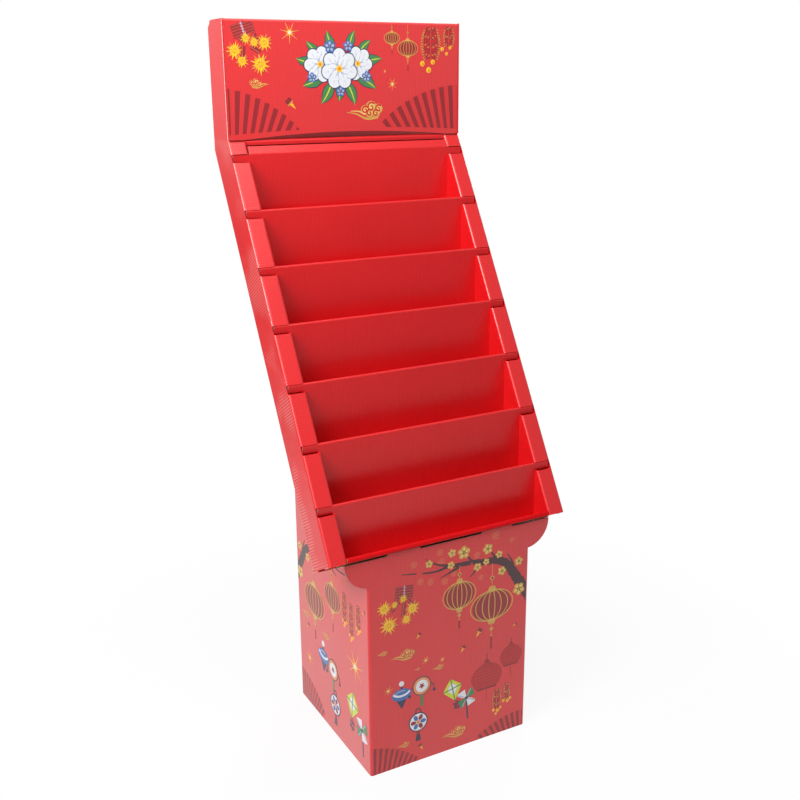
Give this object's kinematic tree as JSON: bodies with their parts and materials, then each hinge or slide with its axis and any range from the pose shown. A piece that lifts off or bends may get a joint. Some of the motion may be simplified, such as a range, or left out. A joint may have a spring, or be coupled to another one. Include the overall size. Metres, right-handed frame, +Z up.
{
  "type": "cardboard display stand",
  "caption": "Floor-standing folded-board stand: square base, leaning tray of stepped pockets between hollow columns, upright header on top.",
  "frame": {"origin": "centre of the base's underside, on the floor", "axes": "+Z up, -Y towards the front with the pockets, +X to the right as seen from the front"},
  "size_m": [0.623, 0.6017, 1.7],
  "materials": {
    "printed_board": "gloss-laminated print on corrugated board",
    "plain_board": "gloss-laminated plain colour on corrugated board"
  },
  "bodies": {
    "root": {"base_wrap": "printed_board", "tray_body": "plain_board", "tray_floor": "plain_board", "top_back_panel": "plain_board", "shelf_1": "plain_board", "shelf_2": "plain_board", "shelf_3": "plain_board", "shelf_4": "plain_board", "shelf_5": "plain_board", "shelf_6": "plain_board", "header_floor": "plain_board", "header_card": "printed_board"}
  },
  "joints": []
}
